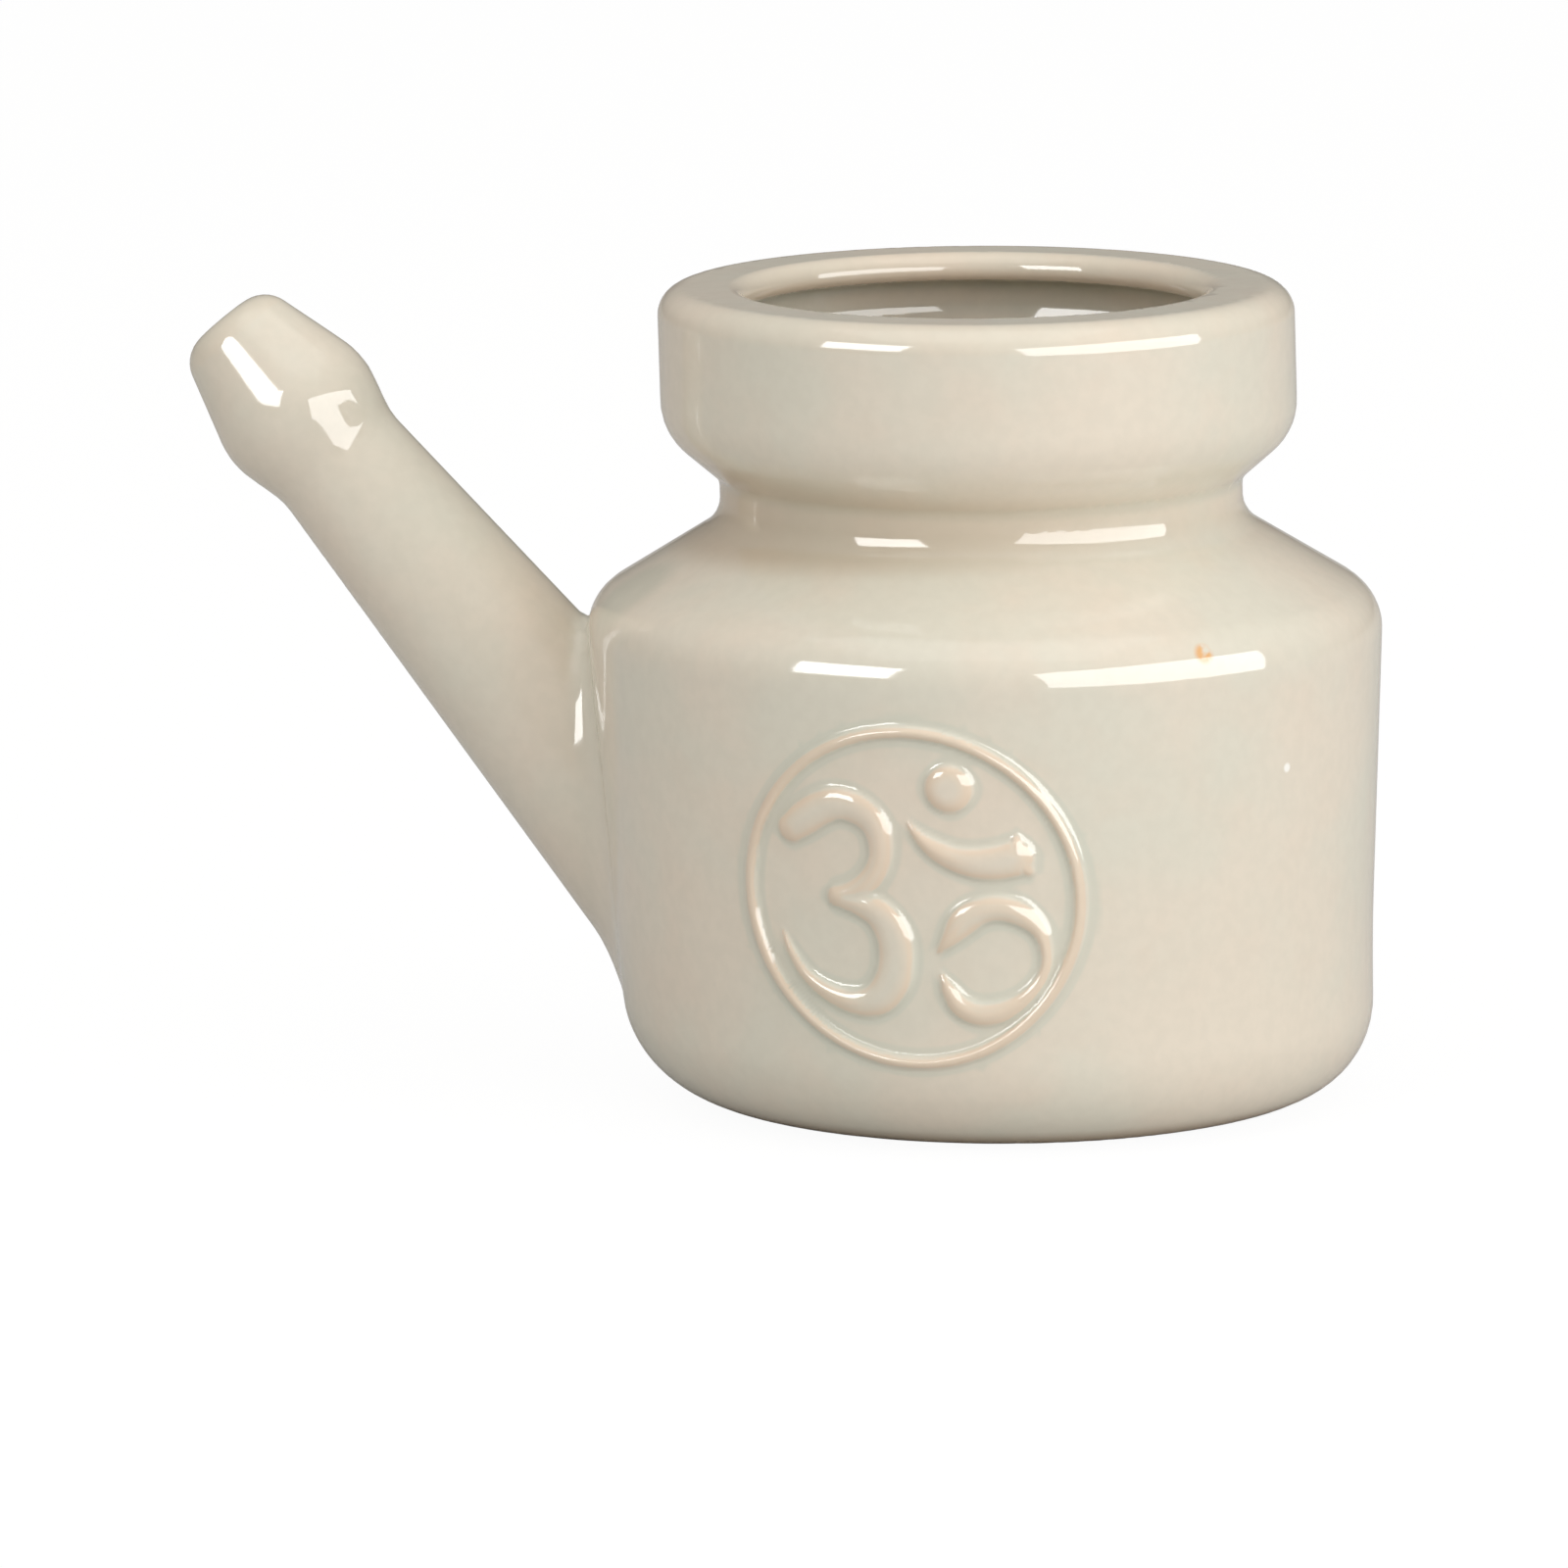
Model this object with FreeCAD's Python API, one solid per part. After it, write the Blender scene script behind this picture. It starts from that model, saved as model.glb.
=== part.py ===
import FreeCAD, Part
import math
import os

os.makedirs("parts", exist_ok=True)

# A slip-cast neti pot in millimetres: one hollow piece of glazed stoneware.
# It stands on z = 0 with its axis on Z, its spout towards -X and the raised
# sign on its -Y side.

# Outside of the body, from the foot up to the rim
base_radius = 42.3
base_round = 11.6
shoulder_radius = 45.3
shoulder_height = 56.0
shoulder_rise = 10.8
shoulder_round = 3.7
neck_radius = 28.9
neck_height = 1.9
neck_bottom_round = 2.4
neck_top_round = 1.5
flare_height = 8.2
collar_radius = 36.0
collar_height = 15.4
collar_round = 4.5
rim_round = 2.9

# Inside of the body, and the mouth, which sits a little off the axis
wall = 3.5
floor = 4.5
sharp_below = 1.5
lip = 3.2
lip_round = 2.0
lip_reach = 9.6
mouth_offset = 1.8

# Foot ring: the bare band that the pot stands on, round a shallow recess
foot_width = 6.0
recess_depth = 0.8

# Spout, measured along its own axis from where that axis leaves the wall
spout_angle = 49.4
spout_below_shoulder = 3.9
spout_length = 69.0
spout_root_radius = 11.15
spout_neck_back = 20.5
spout_neck_radius = 8.0
spout_neck_round = 8.0
bulb_back = 13.3
bulb_radius = 9.9
bulb_round = 10.0
tip_radius = 6.0
tip_round = 3.8
root_fillet = 3.0

# Channel in the spout, from the body to the outlet in the tip
spout_wall = 3.0
outlet_radius = 2.2
outlet_length = 3.0
outlet_edge = 0.5

# Raised ring and sign on the wall
relief = 0.8
relief_root = 1.2
relief_edge = 0.4
ring_above_foot = 9.75
ring_below_shoulder = 6.75
ring_width = 1.7
end_bulge = 0.4

# Strokes of the sign: middle line and half width, (x, z, half width) from the centre
# of a ring of the drawn radius
drawn_radius = 18.9
dot = (5.2, 12.2, 3.0)
upper_bowl = [
    (-12.5, 6.6, 2.1), (-10.6, 8.4, 2.1), (-6.3, 10.2, 2.0), (-2.9, 8.1, 1.7),
    (-2.6, 3.9, 1.6), (-5.6, 0.6, 1.6), (-9.5, -0.3, 1.6),
]
lower_bowl = [
    (-7.0, -1.0, 1.4), (-4.2, -2.0, 1.7), (-1.8, -5.0, 2.0), (-2.2, -9.9, 2.4),
    (-6.1, -11.8, 2.1), (-11.9, -10.2, 1.4), (-15.2, -5.4, 0.5),
]
curl = [
    (3.4, -5.2, 1.0), (5.7, -2.9, 2.0), (9.5, -0.8, 1.6), (13.6, -1.5, 1.4), (15.4, -5.7, 1.1),
    (14.1, -9.6, 1.7), (11.0, -11.9, 1.9), (7.4, -12.5, 1.8), (4.7, -11.2, 1.5), (3.6, -8.4, 0.6),
]
crescent = [
    (0.5, 9.3, 0.5), (2.0, 7.4, 0.9), (5.0, 5.7, 1.8), (9.0, 5.1, 2.4), (14.0, 5.6, 2.5),
]

# Heights of the body's corners, places along the spout, whose upper side meets the
# wall at its own distance below the shoulder, and the ring's size and place
neck_bottom = shoulder_height + shoulder_rise
neck_top = neck_bottom + neck_height
collar_bottom = neck_top + flare_height
height = collar_bottom + collar_height
mouth_radius = collar_radius - lip_reach
wall_lean = math.atan2(shoulder_radius - base_radius, shoulder_height)
spout_lean = math.radians(spout_angle)
spout_reach = spout_root_radius * math.cos(wall_lean) / math.cos(spout_lean + wall_lean)
spout_height = shoulder_height - spout_below_shoulder - spout_reach
spout_neck_at = spout_length - spout_neck_back
bulb_at = spout_length - bulb_back
ring_outer_radius = (shoulder_height - ring_above_foot - ring_below_shoulder) / 2
ring_radius = ring_outer_radius - ring_width / 2
sign_height = ring_above_foot + ring_outer_radius

UP = FreeCAD.Vector(0, 0, 1)
RIGHT = FreeCAD.Vector(1, 0, 0)
BACK = FreeCAD.Vector(0, 1, 0)
CENTRE = FreeCAD.Vector(0, 0, 0)
through = 1.0
touching = 0.01


def wall_radius(z):
    """Radius of the outside wall between the foot and the shoulder."""
    return base_radius + (shoulder_radius - base_radius) * z / shoulder_height


def tangent_length(before, corner, after, radius):
    """How far an arc of this radius reaches along both lines of a corner."""
    one = (before - corner).normalize()
    two = (after - corner).normalize()
    return radius / math.tan(one.getAngle(two) / 2)


def fitted_radii(points, radii):
    """The radii, made smaller where two neighbouring arcs would share a line."""
    reach = [0.0] * len(points)
    for i in range(1, len(points) - 1):
        if radii[i - 1] > 0:
            reach[i] = tangent_length(points[i - 1], points[i], points[i + 1], radii[i - 1])
    fitted = list(radii)
    for i in range(len(points) - 1):
        room = (points[i + 1] - points[i]).Length
        share = room / max(reach[i] + reach[i + 1], room)
        for k in (i - 1, i):
            if 0 <= k < len(fitted):
                fitted[k] = min(fitted[k], radii[k] * share)
    return fitted


def rounded_edges(points, radii):
    """Lines through the points, with an arc of its own radius at each inner corner."""
    edges = []
    start = points[0]
    for i, radius in enumerate(fitted_radii(points, radii), start=1):
        before, corner, after = points[i - 1:i + 2]
        if radius <= 0:
            edges.append(Part.LineSegment(start, corner).toShape())
            start = corner
            continue
        one = (before - corner).normalize()
        two = (after - corner).normalize()
        reach = tangent_length(before, corner, after, radius)
        first = corner + one * reach
        last = corner + two * reach
        to_centre = math.hypot(radius, reach)
        inward = (one + two).normalize()
        middle = corner + inward * (to_centre - radius)
        if (first - start).Length > touching:
            edges.append(Part.LineSegment(start, first).toShape())
        edges.append(Part.Arc(first, middle, last).toShape())
        start = last
    edges.append(Part.LineSegment(start, points[-1]).toShape())
    return edges


def turned(corners, radii, origin, axis, across):
    """A solid turned about an axis, from corners given as (radius, place along the axis)."""
    points = [origin + across * r + axis * s for r, s in corners]
    edges = rounded_edges(points, radii)
    edges.append(Part.LineSegment(points[-1], points[0]).toShape())
    return Part.Face(Part.Wire(edges)).revolve(origin, axis, 360)


def inset(corners, distances):
    """The corners of a profile moved inwards, each line by its own distance."""
    lines = []
    for (r0, z0), (r1, z1), distance in zip(corners, corners[1:], distances):
        length = math.hypot(r1 - r0, z1 - z0)
        nr, nz = (z0 - z1) / length, (r1 - r0) / length
        lines.append((nr, nz, nr * r0 + nz * z0 + distance))
    inner = [(0.0, lines[0][2] / lines[0][1])]
    for (a, b, c), (d, e, f) in zip(lines, lines[1:]):
        cross = a * e - b * d
        inner.append(((c * e - b * f) / cross, (a * f - c * d) / cross))
    inner.append((0.0, lines[-1][2] / lines[-1][1]))
    return inner


def body_corners():
    """Corners of the body's outside, from the axis at the foot to the axis at the rim."""
    return [
        (0.0, 0.0),
        (base_radius, 0.0),
        (shoulder_radius, shoulder_height),
        (neck_radius, neck_bottom),
        (neck_radius, neck_top),
        (collar_radius, collar_bottom),
        (collar_radius, height),
        (0.0, height),
    ]


def body_outside():
    radii = [base_round, shoulder_round, neck_bottom_round, neck_top_round, collar_round, rim_round]
    return turned(body_corners(), radii, CENTRE, UP, RIGHT)


def body_hollow():
    """The room inside: it follows the outside at the wall's thickness, below the lip."""
    corners = inset(body_corners(), [floor, wall, wall, wall, wall, wall, lip])
    radii = [
        base_round - wall,
        shoulder_round - wall,
        neck_bottom_round + wall,
        neck_top_round + wall,
        collar_round - wall,
        rim_round - wall,
    ]
    radii = [radius if radius > sharp_below else 0.0 for radius in radii]
    return turned(corners, radii, CENTRE, UP, RIGHT)


def mouth():
    """The round opening through the lip."""
    foot = FreeCAD.Vector(mouth_offset, 0, height - lip - through)
    return Part.makeCylinder(mouth_radius, lip + 2 * through, foot, UP)


def foot_recess():
    foot_radius = base_radius - base_round
    return Part.makeCylinder(foot_radius - foot_width, recess_depth, CENTRE, UP)


def spout_frame():
    """Where the spout's axis leaves the wall, its direction, and the way across it."""
    root = FreeCAD.Vector(-wall_radius(spout_height), 0, spout_height)
    along = FreeCAD.Vector(-math.cos(spout_lean), 0, math.sin(spout_lean))
    across = FreeCAD.Vector(-math.sin(spout_lean), 0, -math.cos(spout_lean))
    return root, along, across


def cone_radius(s):
    """Radius of the tapered stretch of the spout, before the bulb."""
    return spout_root_radius + (spout_neck_radius - spout_root_radius) * s / spout_neck_at


def spout_start():
    """How far inside the body the spout's solid begins."""
    return -wall / math.cos(spout_lean) - spout_root_radius * math.tan(spout_lean)


def spout_outside():
    start = spout_start()
    corners = [
        (0.0, start),
        (cone_radius(start), start),
        (spout_neck_radius, spout_neck_at),
        (bulb_radius, bulb_at),
        (tip_radius, spout_length),
        (0.0, spout_length),
    ]
    radii = [0.0, spout_neck_round, bulb_round, tip_round]
    return turned(corners, radii, *spout_frame())


def spout_channel():
    """The water's way: a tapered tube, a wider room in the bulb and a narrow outlet."""
    start = spout_start()
    room_end = spout_length - outlet_length
    slope = (bulb_radius - tip_radius) / (spout_length - bulb_at)
    end_radius = bulb_radius - spout_wall - slope * (room_end - bulb_at)
    corners = [
        (0.0, start),
        (cone_radius(start) - spout_wall, start),
        (spout_neck_radius - spout_wall, spout_neck_at),
        (bulb_radius - spout_wall, bulb_at),
        (max(end_radius, outlet_radius), room_end),
        (outlet_radius, room_end),
        (outlet_radius, spout_length + through),
        (0.0, spout_length + through),
    ]
    radii = [0.0, spout_neck_round, bulb_round, 0.0, 0.0, 0.0]
    return turned(corners, radii, *spout_frame())


def edges_where(shape, test):
    """The edges of a shape whose middle point passes a test."""
    found = []
    for edge in shape.Edges:
        middle = edge.valueAt((edge.FirstParameter + edge.LastParameter) / 2)
        if test(edge, middle):
            found.append(edge)
    return found


def on_both(one, two):
    """A test for edges that lie on the skins of two solids."""
    skins = [one.Shells[0], two.Shells[0]]
    return lambda edge, middle: all(
        skin.distToShape(Part.Vertex(middle))[0] < touching for skin in skins
    )


def is_circle(edge, radius, z):
    curve = edge.Curve
    return (
        isinstance(curve, Part.Circle)
        and abs(curve.Radius - radius) < touching
        and abs(curve.Center.z - z) < touching
    )


def outer_form():
    """Body and spout as one block, with the soft joint between them."""
    body = body_outside()
    spout = spout_outside()
    block = body.fuse(spout)
    return block.makeFillet(root_fillet, edges_where(block, on_both(body, spout)))


def hollowed(block):
    """The block with its room, mouth, channel and foot recess cut out."""
    pot = block.cut(body_hollow()).cut(spout_channel()).cut(mouth()).cut(foot_recess())
    rim = edges_where(pot, lambda edge, p: is_circle(edge, mouth_radius, height))
    pot = pot.makeFillet(lip_round, rim)
    root, along, across = spout_frame()
    tip = root + along * spout_length
    outlet = edges_where(
        pot, lambda edge, p: is_circle(edge, outlet_radius, tip.z) and (p - tip).Length < 2 * outlet_radius
    )
    return pot.makeChamfer(outlet_edge, outlet)


def stroke_face(drawn):
    """A brush stroke in the XZ plane: its two sides run beside the middle line."""
    scale = ring_radius / drawn_radius
    stations = [(x * scale, z * scale, half * scale) for x, z, half in drawn]
    middles = [FreeCAD.Vector(x, 0, z) for x, z, half in stations]
    line = Part.BSplineCurve()
    line.interpolate(middles)
    left, right, ways = [], [], []
    for point, (x, z, half) in zip(middles, stations):
        way = FreeCAD.Vector(*line.tangent(line.parameter(point))[0])
        aside = way.cross(BACK) * half
        left.append(point + aside)
        right.append(point - aside)
        ways.append(way)
    sides = []
    for points in (left, right):
        side = Part.BSplineCurve()
        side.interpolate(points)
        sides.append(side.toShape())
    head = middles[0] - ways[0] * stations[0][2] * end_bulge
    tail = middles[-1] + ways[-1] * stations[-1][2] * end_bulge
    caps = [
        Part.Arc(left[0], head, right[0]).toShape(),
        Part.Arc(left[-1], tail, right[-1]).toShape(),
    ]
    return Part.Face(Part.Wire(Part.__sortEdges__(sides + caps)))


def ring_face():
    outer = Part.Circle(CENTRE, BACK, ring_outer_radius).toShape()
    inner = Part.Circle(CENTRE, BACK, ring_radius - ring_width / 2).toShape()
    return Part.Face(Part.Wire(outer)).cut(Part.Face(Part.Wire(inner)))


def dot_face():
    x, z, radius = [value * ring_radius / drawn_radius for value in dot]
    return Part.Face(Part.Wire(Part.Circle(FreeCAD.Vector(x, 0, z), BACK, radius).toShape()))


def prism(faces):
    """One or more flat outlines as one prism that runs through the front wall."""
    reach = max(base_radius, shoulder_radius) + 2 * relief
    front = FreeCAD.Vector(0, -reach, sign_height)
    solids = [face.translated(front).extrude(BACK * reach) for face in faces]
    return solids[0].fuse(solids[1:]) if solids[1:] else solids[0]


def wall_layer():
    """The layer that the relief fills: from inside the wall to the relief's height."""
    top = shoulder_height
    outside = Part.makeCone(wall_radius(0) + relief, wall_radius(top) + relief, top)
    inside = Part.makeCone(wall_radius(0) - relief_root, wall_radius(top) - relief_root, top)
    return outside.cut(inside)


def on_relief(edge, middle):
    """Whether an edge lies on the relief's outer surface."""
    points = [vertex.Point for vertex in edge.Vertexes] + [middle]
    return all(abs(math.hypot(p.x, p.y) - wall_radius(p.z) - relief) < touching for p in points)


def bevelled(figure):
    """The figure with its outer edges bevelled."""
    return figure.makeChamfer(relief_edge, edges_where(figure, on_relief))


def raised_sign():
    """Ring, dot and strokes, each as a raised figure rooted in the wall."""
    layer = wall_layer()
    ring = bevelled(prism([ring_face()]).common(layer))
    spot = bevelled(prism([dot_face()]).common(layer))
    bowls = prism([stroke_face(upper_bowl), stroke_face(lower_bowl)]).common(layer)
    strokes = [prism([stroke_face(drawn)]).common(layer) for drawn in (curl, crescent)]
    return [ring, spot, bowls] + strokes


pot = hollowed(outer_form()).fuse(raised_sign())
pot.exportStep("parts/pot.step")
print("pot", pot.isValid(), len(pot.Solids), round(pot.Volume), pot.BoundBox)
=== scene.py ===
import math

import bmesh
import bpy
import numpy as np
from mathutils import Matrix, Vector


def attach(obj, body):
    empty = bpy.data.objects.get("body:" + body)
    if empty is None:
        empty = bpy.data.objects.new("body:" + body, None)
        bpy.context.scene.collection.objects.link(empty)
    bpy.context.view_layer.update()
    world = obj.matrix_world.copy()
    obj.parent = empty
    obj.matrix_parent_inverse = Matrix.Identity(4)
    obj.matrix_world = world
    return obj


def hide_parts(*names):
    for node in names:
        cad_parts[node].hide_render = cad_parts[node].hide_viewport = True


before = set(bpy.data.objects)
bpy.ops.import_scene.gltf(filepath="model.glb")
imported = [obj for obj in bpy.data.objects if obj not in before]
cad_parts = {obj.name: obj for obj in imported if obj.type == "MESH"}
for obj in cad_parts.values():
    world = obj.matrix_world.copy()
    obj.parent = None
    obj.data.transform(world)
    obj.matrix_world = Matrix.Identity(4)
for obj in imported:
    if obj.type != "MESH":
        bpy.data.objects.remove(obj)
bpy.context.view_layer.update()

# The pot: one hollow piece of slip-cast stoneware, thin walled, with its spout joined
# on while soft. Its skin is worked out in millimetres, as a distance from the turned
# body, the spout and the room inside, softened where the glaze rounds the edges.
FOOT_RADIUS = 42.1
SHOULDER_RADIUS = 45.21
SHOULDER_HEIGHT = 56.6
NECK_RADIUS = 29.6
NECK_BOTTOM = 66.1
NECK_TOP = 70.6
COLLAR_RADIUS = 36.0
COLLAR_BOTTOM = 76.1
HEIGHT = 92.3
BODY_CORNERS = [
    (0.0, 0.0), (FOOT_RADIUS, 0.0), (SHOULDER_RADIUS, SHOULDER_HEIGHT),
    (NECK_RADIUS, NECK_BOTTOM), (NECK_RADIUS, NECK_TOP),
    (COLLAR_RADIUS, COLLAR_BOTTOM), (COLLAR_RADIUS, HEIGHT), (0.0, HEIGHT),
]
BODY_ROUNDS = [11.5, 6.1, 4.2, 1.9, 7.0, 3.2]
WALL = 3.5
FLOOR = 4.5
CEILING = 89.1
RIDGE_HEIGHT = 85.0
ROOM_CORNERS = [
    (0.0, FLOOR), (38.8, FLOOR), (41.7, 54.8), (NECK_RADIUS - WALL, 64.3), (NECK_RADIUS - WALL, 71.2),
    (COLLAR_RADIUS - WALL, RIDGE_HEIGHT), (COLLAR_RADIUS - WALL, CEILING), (0.0, CEILING),
]
ROOM_ROUNDS = [8.0, 3.5, 2.5, 3.0, 4.0, 1.5]
MOUTH_CENTRE = (-0.1, 0.0)
MOUTH_RADIUS = 25.9
MOUTH_BOTTOM = 80.0
MOUTH_TO_ROOM_ROUND = 1.2
LIP_ROUND = 2.0
FOOT_RECESS_RADIUS = 24.7
FOOT_RECESS_DEPTH = 0.8
FOOT_RECESS_ROUND = 0.3
SPOUT_ROOT = np.array([-44.11, 0.0, 33.82])
SPOUT_LEAN = math.radians(49.4)
SPOUT_START = -18.4
BULB_START = 48.5
BULB_MIDDLE = 55.7
SPOUT_LENGTH = 69.0
SPOUT_CORNERS = [
    (0.0, SPOUT_START), (12.34, SPOUT_START), (8.0, BULB_START), (9.9, BULB_MIDDLE),
    (6.0, SPOUT_LENGTH), (0.0, SPOUT_LENGTH),
]
SPOUT_ROUNDS = [0.5, 8.0, 10.0, 3.8]
OUTLET_RADIUS = 2.2
CHANNEL_CORNERS = [
    (0.0, SPOUT_START), (9.34, SPOUT_START), (5.0, BULB_START), (6.9, BULB_MIDDLE), (3.9, 65.9),
    (OUTLET_RADIUS, 66.4), (OUTLET_RADIUS, SPOUT_LENGTH + 3.0), (0.0, SPOUT_LENGTH + 3.0),
]
CHANNEL_ROUNDS = [0.5, 8.0, 10.0, 0.4, 0.4, 0.5]
CHANNEL_TO_ROOM_ROUND = 1.0
OUTLET_ROUND = 0.6
OUTLET_ROUND_START = 60.0
ROOT_ROUND = 3.2
LEAN = math.tan(math.radians(1.37))
LEAN_HEIGHT = 52.5
FOOT_SLIDE = 1.1
FOOT_SLIDE_HEIGHT = 24.0
RELIEF_HEIGHT = 1.0
SIGN_PLACE = (-0.2, 29.8)
RING_RADIUS = 18.75
RING_HALF_WIDTH = 0.75

# The sign's dot and the stations of its strokes, each as its place across and its height
# from the ring's middle, and its half width.
DOT = (5.1, 12.5, 2.8)
STROKES = {
    "upper_bowl": [
        (-13.2, 7.3, 1.8), (-11.6, 8.5, 2.1), (-9.7, 9.7, 2.1), (-7.6, 10.3, 2.0), (-5.3, 9.8, 1.9),
        (-3.6, 8.4, 1.75), (-2.9, 6.3, 1.6), (-3.1, 4.0, 1.5), (-4.2, 2.0, 1.5), (-5.9, 0.6, 1.5),
        (-8.1, -0.1, 1.3),
    ],
    "lower_bowl": [
        (-8.1, -0.2, 1.3), (-5.4, -0.9, 1.6), (-3.2, -2.1, 1.9), (-1.8, -4.4, 2.15), (-1.6, -7.2, 2.2),
        (-2.3, -9.7, 2.2), (-4.0, -11.6, 2.0), (-6.6, -12.1, 1.6), (-9.7, -11.2, 1.2), (-12.3, -9.4, 0.85),
        (-14.1, -6.7, 0.55), (-15.0, -4.4, 0.1),
    ],
    "curl": [
        (3.1, -6.1, 0.15), (4.6, -4.4, 1.1), (6.2, -2.5, 1.75), (8.0, -1.4, 1.65), (10.2, -1.1, 1.6),
        (12.5, -1.8, 1.5), (14.2, -3.5, 1.1), (14.9, -5.6, 0.8), (14.8, -7.8, 0.75), (13.9, -9.8, 0.9),
        (12.2, -11.5, 1.1), (9.9, -12.7, 1.35), (7.4, -13.0, 1.45), (5.4, -12.1, 1.35), (4.2, -10.3, 0.95),
        (3.4, -8.5, 0.15),
    ],
    "crescent": [
        (0.2, 8.7, 0.1), (1.7, 6.9, 0.8), (3.5, 5.5, 1.3), (5.7, 4.5, 1.6), (8.0, 4.1, 1.9),
        (10.2, 4.2, 2.1), (12.0, 4.6, 2.2),
    ],
    "crescent_end": [(12.2, 6.8, 0.5), (12.5, 5.2, 1.25), (13.3, 3.3, 0.8)],
}


def rounded_outline(corners, rounds):
    """Lines and arcs of a turned profile, walked with the clay on the left."""
    points = [np.array(c) for c in corners]
    parts = []
    start = points[0]
    for before, corner, after, radius in zip(points, points[1:], points[2:], rounds):
        if radius <= 0:
            parts.append(("line", start, corner))
            start = corner
            continue
        one = (before - corner) / np.linalg.norm(before - corner)
        two = (after - corner) / np.linalg.norm(after - corner)
        half = math.acos(float(np.clip(one @ two, -1, 1))) / 2
        reach = radius / math.tan(half)
        centre = corner + (one + two) / np.linalg.norm(one + two) * radius / math.sin(half)
        turn = one[1] * two[0] - one[0] * two[1]
        first, last = corner + one * reach, corner + two * reach
        parts.append(("line", start, first))
        parts.append(("arc", first, last, centre, radius, math.copysign(1.0, turn)))
        start = last
    parts.append(("line", start, points[-1]))
    return parts


def profile_distance(parts, r, z):
    """Distance from a turned profile, above zero outside the clay."""
    nearest = np.full(r.shape, 1e9)
    signed = np.full(r.shape, 1e9)
    for part in parts:
        if part[0] == "line":
            (r0, z0), (r1, z1) = part[1], part[2]
            dr, dz = r1 - r0, z1 - z0
            length = max(math.hypot(dr, dz), 1e-9)
            along = np.clip(((r - r0) * dr + (z - z0) * dz) / length ** 2, 0, 1)
            gap = np.hypot(r - r0 - along * dr, z - z0 - along * dz)
            value = np.where((r - r0) * dz - (z - z0) * dr >= 0, gap, -gap)
        else:
            first, last, centre, radius, convex = part[1:]
            vr, vz = r - centre[0], z - centre[1]
            ar, az = first - centre
            br, bz = last - centre
            within = (convex * (ar * vz - az * vr) >= 0) & (convex * (vr * bz - vz * br) >= 0)
            value = convex * (np.hypot(vr, vz) - radius)
            gap = np.where(within, np.abs(value), 1e9)
        closer = gap < nearest
        nearest = np.where(closer, gap, nearest)
        signed = np.where(closer, value, signed)
    return signed


def round_join(a, b, radius):
    """Two pieces of clay joined, with the inner corner filled to a radius."""
    corner = np.hypot(np.maximum(radius - a, 0), np.maximum(radius - b, 0))
    return np.maximum(radius, np.minimum(a, b)) - corner


def round_cut(a, b, radius):
    """What two pieces share, with the outer corner rounded to a radius."""
    corner = np.hypot(np.maximum(radius + a, 0), np.maximum(radius + b, 0))
    return np.minimum(-radius, np.maximum(a, b)) + corner


def brush_line(stations, steps=8):
    """A stroke's middle line and half width, smooth between its stations."""
    rows = np.array([stations[0]] + stations + [stations[-1]])
    line = []
    for a, b, c, d in zip(rows, rows[1:], rows[2:], rows[3:]):
        for t in np.linspace(0, 1, steps, endpoint=False):
            cubic = t * (3 * b - 3 * c + d - a)
            line.append(b + 0.5 * t * (c - a + t * (2 * a - 5 * b + 4 * c - d + cubic)))
    line.append(rows[-1])
    return np.array(line)


SIGN_REACH = 23.0
SIGN_STEP = 0.1
sign_axis = np.arange(-SIGN_REACH, SIGN_REACH + SIGN_STEP / 2, SIGN_STEP)
sign_x, sign_z = np.meshgrid(sign_axis, sign_axis, indexing="ij")
ring_edge = np.abs(np.hypot(sign_x, sign_z) - RING_RADIUS) - RING_HALF_WIDTH
sign_edge = np.hypot(sign_x - DOT[0], sign_z - DOT[1]) - DOT[2]
for stations in STROKES.values():
    line = brush_line(stations)
    for (x0, z0, w0), (x1, z1, w1) in zip(line, line[1:]):
        dx, dz = x1 - x0, z1 - z0
        t = np.clip(((sign_x - x0) * dx + (sign_z - z0) * dz) / max(dx * dx + dz * dz, 1e-9), 0, 1)
        gap = np.hypot(sign_x - x0 - t * dx, sign_z - z0 - t * dz) - (w0 + (w1 - w0) * t)
        sign_edge = np.minimum(sign_edge, gap)


def softened(field, reach):
    """The field blurred, as glaze softens what lies under it."""
    steps = int(reach / SIGN_STEP * 3)
    kernel = np.exp(-0.5 * (np.arange(-steps, steps + 1) * SIGN_STEP / reach) ** 2)
    kernel /= kernel.sum()
    for way in (0, 1):
        field = np.apply_along_axis(lambda row: np.convolve(row, kernel, mode="same"), way, field)
    return field


def domed(edge, width):
    """Height of a rounded bead, 0 at its edge and 1 where it is a width deep."""
    return (1 - (1 - np.clip(-edge / width, 0, 1)) ** 2) ** 0.6


STROKE_SLOPE = 1.9
RING_SLOPE = 0.8
RING_SHARE = 0.85
GLAZE_SOFTNESS = 0.2
sign_relief = np.maximum(domed(sign_edge, STROKE_SLOPE), RING_SHARE * domed(ring_edge, RING_SLOPE))
sign_relief = softened(sign_relief, GLAZE_SOFTNESS) * RELIEF_HEIGHT


def read_sign(field, x, z):
    """The field's value at places on the wall, between its own points."""
    u = np.clip((x + SIGN_REACH) / SIGN_STEP, 0, len(sign_axis) - 1.001)
    v = np.clip((z + SIGN_REACH) / SIGN_STEP, 0, len(sign_axis) - 1.001)
    i, j = u.astype(int), v.astype(int)
    u, v = u - i, v - j
    low = field[i, j] * (1 - u) + field[i + 1, j] * u
    high = field[i, j + 1] * (1 - u) + field[i + 1, j + 1] * u
    return low * (1 - v) + high * v


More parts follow.
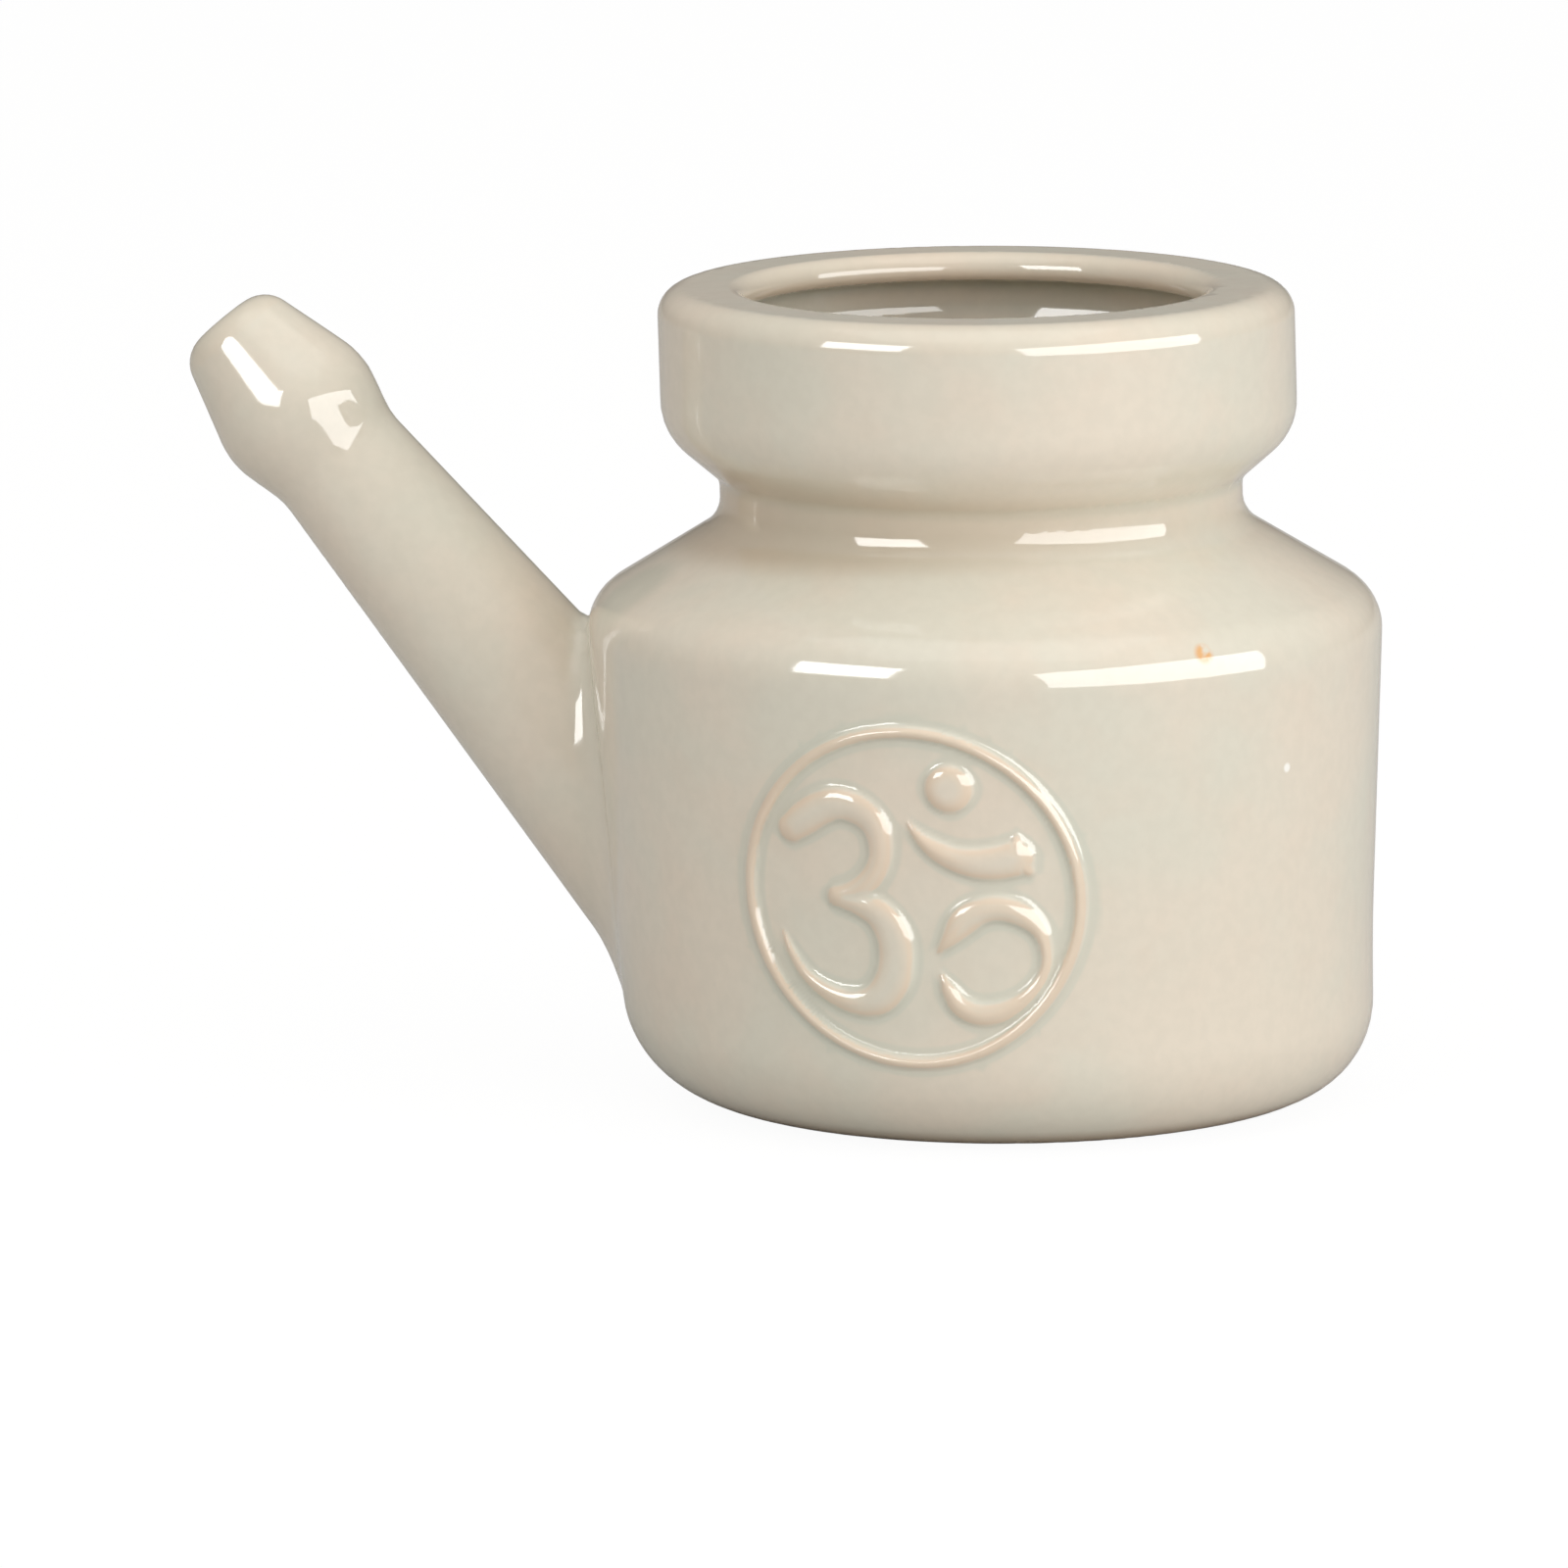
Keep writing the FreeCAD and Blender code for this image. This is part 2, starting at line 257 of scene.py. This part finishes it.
body_outline = rounded_outline(BODY_CORNERS, BODY_ROUNDS)
room_outline = rounded_outline(ROOM_CORNERS, ROOM_ROUNDS)
spout_outline = rounded_outline(SPOUT_CORNERS, SPOUT_ROUNDS)
channel_outline = rounded_outline(CHANNEL_CORNERS, CHANNEL_ROUNDS)
spout_way = np.array([-math.cos(SPOUT_LEAN), 0.0, math.sin(SPOUT_LEAN)])


def along_pot(points):
    """Places measured from the body's axis, which leans a little, and along the spout."""
    x, y, z = points.T
    x = x + LEAN * (z - LEAN_HEIGHT) - FOOT_SLIDE * np.clip(1 - z / FOOT_SLIDE_HEIGHT, 0, 1) ** 2
    s = (points - SPOUT_ROOT) @ spout_way
    q = np.linalg.norm(points - SPOUT_ROOT - s[:, None] * spout_way, axis=1)
    return x, y, z, np.hypot(x, y), s, q


def clay(points):
    """Distance from the pot's skin, below zero in the clay."""
    x, y, z, r, s, q = along_pot(points)
    relief = np.where(y < 0, read_sign(sign_relief, x - SIGN_PLACE[0], z - SIGN_PLACE[1]), 0)
    body = profile_distance(body_outline, r, z) - relief
    outside = round_join(body, profile_distance(spout_outline, q, s), ROOT_ROUND)
    mouth = np.hypot(x - MOUTH_CENTRE[0], y - MOUTH_CENTRE[1]) - MOUTH_RADIUS
    mouth = np.maximum(mouth, MOUTH_BOTTOM - z)
    hollow = round_cut(-profile_distance(room_outline, r, z), -mouth, MOUTH_TO_ROOM_ROUND)
    hollow = round_cut(hollow, -profile_distance(channel_outline, q, s), CHANNEL_TO_ROOM_ROUND)
    skin = round_cut(outside, hollow, np.where(s > OUTLET_ROUND_START, OUTLET_ROUND, LIP_ROUND))
    recess = np.maximum(r - FOOT_RECESS_RADIUS, z - FOOT_RECESS_DEPTH)
    return round_cut(skin, -recess, FOOT_RECESS_ROUND)


def skin_way(points, step):
    """Which way is outwards, from small steps each way."""
    rows = [(clay(points + way) - clay(points - way)) / (2 * step) for way in np.eye(3) * step]
    return np.array(rows).T


def settled(points, rounds, step=0.02, flattest=0.05, longest_move=0.8):
    """Points near the skin, brought onto it in short moves."""
    for _ in range(rounds):
        way = skin_way(points, step)
        steepness = np.maximum((way ** 2).sum(1), flattest)
        move = way * (clay(points) / steepness)[:, None]
        length = np.maximum(np.linalg.norm(move, axis=1), 1e-9)
        points = points - move * np.minimum(1, longest_move / length)[:, None]
    return points


def in_millimetres(mesh):
    """A mesh's points as rows of x, y and z."""
    places = np.empty(len(mesh.vertices) * 3)
    mesh.vertices.foreach_get("co", places)
    return places.reshape(-1, 3) * 1000


VOXEL = 1.3
pot = bpy.data.objects.new("glazed_pot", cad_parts["pot"].data.copy())
bpy.context.scene.collection.objects.link(pot)
even = pot.modifiers.new("even_skin", "REMESH")
even.mode = "VOXEL"
even.voxel_size = VOXEL / 1000
even.adaptivity = 0
rough_skin = bpy.data.meshes.new_from_object(pot.evaluated_get(bpy.context.evaluated_depsgraph_get()))
pot.modifiers.clear()
pot.data = rough_skin
pot.data.materials.clear()

# Where the glazed mouth and the ridge in the room lie off the cast ones, the points are
# first brought near their new places, so that each settles on its own side of the wall.
CAST_MOUTH_CENTRE = (1.8, 0.0)
CAST_MOUTH_RADIUS = 26.4
LIP_HEIGHT = 90.7
MOUTH_FADE_RADII = (28.0, 33.0)
MOUTH_FADE_HEIGHTS = (85.5, 87.5)
CAST_ROOM_HEIGHTS = (0, 64, 70, 78.3, 88.5, 95)
GLAZED_ROOM_HEIGHTS = (0, 64, 71.2, 84.8, 88.7, 95)
ROOM_WALL_DEPTH = 1.9
ROOM_WALL_REACH = 33.2
glazed_mouth = (MOUTH_CENTRE[0] - LEAN * (LIP_HEIGHT - LEAN_HEIGHT), MOUTH_CENTRE[1])
places = in_millimetres(pot.data)
from_mouth = places[:, :2] - CAST_MOUTH_CENTRE
reach = np.hypot(*from_mouth.T)
share = np.interp(reach, MOUTH_FADE_RADII, (1, 0)) * np.interp(places[:, 2], MOUTH_FADE_HEIGHTS, (0, 1))
inwards = (MOUTH_RADIUS - CAST_MOUTH_RADIUS) * from_mouth / np.maximum(reach, 1.0)[:, None]
places[:, :2] += share[:, None] * (np.subtract(glazed_mouth, CAST_MOUTH_CENTRE) + inwards)
reach = np.hypot(*places[:, :2].T)
in_room = profile_distance(body_outline, reach, places[:, 2]) < -ROOM_WALL_DEPTH
raised = np.interp(places[:, 2], CAST_ROOM_HEIGHTS, GLAZED_ROOM_HEIGHTS)
places[:, 2] = np.where(in_room & (reach < ROOM_WALL_REACH), raised, places[:, 2])

skin = bmesh.new()
skin.from_mesh(pot.data)
places = settled(places, 5)
for vert, place in zip(skin.verts, places):
    vert.co = Vector(place / 1000)


def split_where(test, cuts):
    """Divides the faces whose middles pass a test, and settles the new points."""
    middles = np.array([face.calc_center_median() for face in skin.faces]) * 1000
    chosen = test(middles)
    edges = {edge for face, pick in zip(skin.faces, chosen) if pick for edge in face.edges}
    bmesh.ops.subdivide_edges(skin, edges=list(edges), cuts=cuts, use_grid_fill=True)
    skin.verts.ensure_lookup_table()
    places = settled(np.array([vert.co for vert in skin.verts]) * 1000, 3)
    for vert, place in zip(skin.verts, places):
        vert.co = Vector(place / 1000)


def bend(points, step):
    """How sharply the skin turns: above zero on outer edges, below in hollows."""
    here = clay(points)
    total = sum(clay(points + way) + clay(points - way) - 2 * here for way in np.eye(3) * step)
    return total / step ** 2


def on_sign(points, margin=1.6, wall_start=41.0):
    """The front wall under the sign and its ring."""
    x, y, z, r, s, q = along_pot(points)
    from_sign = np.hypot(x - SIGN_PLACE[0], z - SIGN_PLACE[1])
    return (from_sign < RING_RADIUS + margin) & (y < 0) & (r > wall_start)


SEEN_DEPTH = 1.0
UPPER_ROOM_START = 60.0
SPOUT_SIDE = -40.0
SPOUT_TIP_START = 66.5
FOOT_EDGE_HEIGHT = 1.2


def on_tight_round(points, tightest=0.24):
    """Sharp rounds that can be seen: outside, in the upper room and in the spout's tip."""
    x, y, z, r, s, q = along_pot(points)
    deep = np.minimum(profile_distance(body_outline, r, z), profile_distance(spout_outline, q, s))
    upper_room = (z > UPPER_ROOM_START) & (x > SPOUT_SIDE)
    shown = (deep > -SEEN_DEPTH) | upper_room | (s > SPOUT_TIP_START)
    tight = np.abs(bend(points, 0.4)) > tightest
    return shown & tight & ~on_sign(points) & (z > FOOT_EDGE_HEIGHT)


split_where(on_tight_round, 1)
split_where(on_sign, 3)
bmesh.ops.triangulate(skin, faces=[face for face in skin.faces if len(face.verts) > 4])
skin.to_mesh(pot.data)
skin.free()

places = in_millimetres(pot.data)
outwards = skin_way(places, 0.05)
outwards /= np.linalg.norm(outwards, axis=1)[:, None]
for polygon in pot.data.polygons:
    polygon.use_smooth = True
pot.data.normals_split_custom_set_from_vertices(outwards.tolist())
for name, values in (("thin_glaze", bend(places, 0.5)), ("pooled_glaze", -bend(places, 1.1))):
    layer = pot.data.attributes.new(name, "FLOAT", "POINT")
    layer.data.foreach_set("value", np.clip(values, 0, 1).astype(np.float32))


class Wire:
    """A socket's value, so that shader sums read as sums."""

    tree = None

    def __init__(self, socket):
        self.socket = socket

    @classmethod
    def node(cls, kind, settings=(), **inputs):
        """A node with its settings, then its sockets by name, or by number as in0, in1."""
        made = cls.tree.nodes.new(kind)
        for key, value in dict(settings).items():
            setattr(made, key, value)
        for key, value in inputs.items():
            slot = int(key[2:]) if key.startswith("in") else key.replace("_", " ")
            cls.feed(made.inputs[slot], value)
        return made

    @classmethod
    def feed(cls, socket, value):
        """A link where the value is a wire, and else the socket's own value."""
        if isinstance(value, cls):
            cls.tree.links.new(value.socket, socket)
        else:
            socket.default_value = value

    @classmethod
    def sum(cls, operation, a, b):
        """What a Math node makes of two values."""
        return cls(cls.node("ShaderNodeMath", {"operation": operation}, in0=a, in1=b).outputs[0])

    def __add__(self, other):
        return self.sum("ADD", self, other)

    def __sub__(self, other):
        return self.sum("SUBTRACT", self, other)

    def __rsub__(self, other):
        return self.sum("SUBTRACT", other, self)

    def __mul__(self, other):
        return self.sum("MULTIPLY", self, other)

    __radd__ = __add__
    __rmul__ = __mul__

    def between(self, low, high):
        """0 below low, 1 above high, smooth in between."""
        ramp = Wire.node(
            "ShaderNodeMapRange", {"interpolation_type": "SMOOTHSTEP"},
            Value=self, From_Min=low, From_Max=high,
        )
        return Wire(ramp.outputs[0])


def mixed(mask, one, two):
    """One colour into another where the mask says."""
    return Wire(Wire.node("ShaderNodeMix", {"data_type": "RGBA"}, in0=mask, in6=one, in7=two).outputs[2])


def shade(red, green, blue):
    """A colour written as it looks on a screen, 0 to 255."""
    parts = [value / 255 for value in (red, green, blue)]
    return tuple(v / 12.92 if v <= 0.04045 else ((v + 0.055) / 1.055) ** 2.4 for v in parts) + (1.0,)


glaze = bpy.data.materials.new("cream_glaze")
glaze.use_nodes = True
Wire.tree = glaze.node_tree
Wire.tree.nodes.clear()
place = Wire(Wire.node("ShaderNodeTexCoord").outputs["Object"])
thin = Wire(Wire.node("ShaderNodeAttribute", {"attribute_name": "thin_glaze"}).outputs["Fac"])
pooled = Wire(Wire.node("ShaderNodeAttribute", {"attribute_name": "pooled_glaze"}).outputs["Fac"])
height = Wire(Wire.node("ShaderNodeSeparateXYZ", Vector=place).outputs["Z"])


def mottle(scale, detail):
    """Soft spots in the glaze, 0 to 1, so many to a metre."""
    return Wire(Wire.node("ShaderNodeTexNoise", Vector=place, Scale=scale, Detail=detail).outputs[0])


def near(spot, core, edge):
    """1 within a core round a spot on the pot, 0 beyond its edge, in metres."""
    gap = Wire.node("ShaderNodeVectorMath", {"operation": "DISTANCE"}, in0=place, in1=spot)
    return 1 - Wire(gap.outputs[1]).between(core, edge)


clouds = mottle(42.0, 4.0)
blush = Wire(Wire.node(
    "ShaderNodeTexNoise", {"noise_dimensions": "4D"}, Vector=place, W=3.0, Scale=110.0, Detail=3.0,
).outputs[0])
grain = mottle(620.0, 2.0)
CREAM = shade(218, 214, 199)
WARM_CREAM = shade(224, 214, 198)
PINK_BLUSH = shade(225, 208, 190)
GREY_GRAIN = shade(198, 193, 178)
THIN_OVER_EDGES = shade(229, 203, 176)
POOLED_IN_HOLLOWS = shade(196, 202, 189)
BARE_CLAY = shade(186, 160, 128)
PAINTED_SHADE_UNDER_COLLAR = shade(188, 168, 142)
PAINTED_GREEN_REFLECTION = shade(186, 190, 174)
IRON_SPECK = shade(226, 176, 122)
WHITE_SPECK = shade(246, 244, 238)
tint = mixed(clouds.between(0.35, 0.65), CREAM, WARM_CREAM)
tint = mixed(blush.between(0.45, 0.75) * 0.3, tint, PINK_BLUSH)
tint = mixed(grain.between(0.3, 0.7) * 0.12, tint, GREY_GRAIN)
tint = mixed(thin.between(0.12, 0.95) * 0.5, tint, THIN_OVER_EDGES)
tint = mixed(pooled.between(0.03, 0.5) * 0.4, tint, POOLED_IN_HOLLOWS)
tint = mixed((1 - height.between(0.0006, 0.0026)) * 0.7, tint, BARE_CLAY)
# Painted shade: the neck under the collar and the room inside the mouth are darkened towards brown, where the
# collar keeps the light off.
tint = mixed(near((-0.0035, 0.0, 0.0685), 0.0300, 0.0345) * 0.5, tint, PAINTED_SHADE_UNDER_COLLAR)
# Painted reflection: a greenish grey patch on the left shoulder beside the spout stands in for something dark
# in the room mirrored in the glaze.
tint = mixed(near((-0.0365, -0.0180, 0.0585), 0.0035, 0.0075) * 0.45, tint, PAINTED_GREEN_REFLECTION)
tint = mixed(near((0.0313, -0.0313, 0.0561), 0.0006, 0.0015) * grain.between(0.3, 0.5), tint, IRON_SPECK)
tint = mixed(near((0.0389, -0.0219, 0.0419), 0.0003, 0.0007), tint, WHITE_SPECK)
uneven = Wire.node("ShaderNodeBump", Strength=0.12, Distance=0.0005, Height=mottle(70.0, 2.0))
surface = Wire.node(
    "ShaderNodeBsdfPrincipled", Base_Color=tint, Roughness=0.045, IOR=1.5, Normal=Wire(uneven.outputs[0]),
)
Wire.tree.links.new(surface.outputs[0], Wire.node("ShaderNodeOutputMaterial").inputs[0])
pot.data.materials.append(glaze)
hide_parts("pot")
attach(pot, "root")

# The pot stands on a sheet of white paper in a dim, warm room, lighter overhead. Both
# look white to the camera, and the paper keeps the pot's shadow.
bpy.ops.mesh.primitive_plane_add(size=8.0, location=(0, 0, -0.0002))
floor = bpy.context.object
floor.name = "floor"
paper = bpy.data.materials.new("white_paper")
paper.use_nodes = True
Wire.tree = paper.node_tree
Wire.tree.nodes.clear()
seen = Wire(Wire.node("ShaderNodeLightPath").outputs["Is Camera Ray"])
matt = Wire.node("ShaderNodeBsdfDiffuse", Color=(0.58, 0.58, 0.58, 1.0))
lit = Wire.node("ShaderNodeEmission", Color=(1.0, 1.0, 1.0, 1.0), Strength=1.06)
blend = Wire.node("ShaderNodeMixShader", in0=seen * 0.9, in1=Wire(matt.outputs[0]), in2=Wire(lit.outputs[0]))
Wire.tree.links.new(blend.outputs[0], Wire.node("ShaderNodeOutputMaterial").inputs[0])
floor.data.materials.append(paper)

world = bpy.data.worlds.new("room")
bpy.context.scene.world = world
world.use_nodes = True
Wire.tree = world.node_tree
Wire.tree.nodes.clear()
seen = Wire(Wire.node("ShaderNodeLightPath").outputs["Is Camera Ray"])
way_up = Wire.node("ShaderNodeSeparateXYZ", Vector=Wire(Wire.node("ShaderNodeTexCoord").outputs["Generated"]))
overhead = Wire.sum("MAXIMUM", Wire(way_up.outputs["Z"]), 0.0)
behind = Wire.sum("MAXIMUM", Wire(way_up.outputs["Y"]), 0.0)
room_light = (overhead * 0.55 + 0.295) * (1 - behind * 0.4)
dim = Wire.node("ShaderNodeBackground", Color=(1.0, 0.965, 0.915, 1.0), Strength=room_light)
white = Wire.node("ShaderNodeBackground", Color=(1.0, 1.0, 1.0, 1.0), Strength=1.0)
blend = Wire.node("ShaderNodeMixShader", in0=seen, in1=Wire(dim.outputs[0]), in2=Wire(white.outputs[0]))
Wire.tree.links.new(blend.outputs[0], Wire.node("ShaderNodeOutputWorld").inputs[0])

# The camera stands a metre and a half away, to the right of the pot's front, and looks a
# little down on it. It aims to the left of the pot's middle and is rolled by half a degree.
CAMERA_TURN = math.radians(11.9)
CAMERA_RISE = math.radians(9.54)
CAMERA_ROLL = math.radians(-0.43)
CAMERA_DISTANCE = 1.5
AIM_LEFT = 0.02293
AIM_BELOW = 0.01068
right_hand = Vector((math.cos(CAMERA_TURN), math.sin(CAMERA_TURN), 0))
from_pot = Vector((
    math.sin(CAMERA_TURN) * math.cos(CAMERA_RISE),
    -math.cos(CAMERA_TURN) * math.cos(CAMERA_RISE),
    math.sin(CAMERA_RISE),
))
upwards = from_pot.cross(right_hand)
middle = Vector((0, 0, 0.046))
camera = bpy.data.objects.new("camera", bpy.data.cameras.new("camera"))
bpy.context.scene.collection.objects.link(camera)
camera.location = middle + from_pot * CAMERA_DISTANCE
aim = middle - right_hand * AIM_LEFT - upwards * AIM_BELOW
facing = (camera.location - aim).to_track_quat("Z", "Y").to_matrix()
camera.rotation_euler = (facing @ Matrix.Rotation(CAMERA_ROLL, 3, "Z")).to_euler()
camera.data.lens = 303.26
camera.data.clip_start = 0.01
bpy.context.scene.camera = camera
bpy.context.scene.view_settings.view_transform = "Standard"

# A soft box lights the pot from each side and one from above. A brighter sheet hangs just
# inside each side box and shows in the glaze alone, as the crisp gleams on its rounds.
BOX_DISTANCE = 1.0
SHEET_DISTANCE = 0.96


def softbox(name, turn, rise, width, height, power, gleam_only=False):
    """A flat lamp, turned and raised in degrees from the camera's side, in metres and watts."""
    data = bpy.data.lights.new(name, "AREA")
    data.shape = "RECTANGLE"
    data.size, data.size_y = width, height
    data.energy = power
    lamp = bpy.data.objects.new(name, data)
    bpy.context.scene.collection.objects.link(lamp)
    angle = CAMERA_TURN + math.radians(turn)
    lift = math.radians(rise)
    way = Vector((math.sin(angle) * math.cos(lift), -math.cos(angle) * math.cos(lift), math.sin(lift)))
    lamp.location = middle + way * (SHEET_DISTANCE if gleam_only else BOX_DISTANCE)
    lamp.rotation_euler = way.to_track_quat("Z", "Y").to_euler()
    lamp.visible_diffuse = not gleam_only


softbox("right_softbox", 52, 14, 1.4, 0.58, 6.6)
softbox("right_gleam", 52, 14, 1.34, 0.56, 11, gleam_only=True)
softbox("left_softbox", -42, 24, 0.56, 0.44, 1.6)
softbox("left_gleam", -42, 24, 0.5, 0.36, 6.0, gleam_only=True)
softbox("top_softbox", 0, 80, 1.0, 1.0, 2.0)
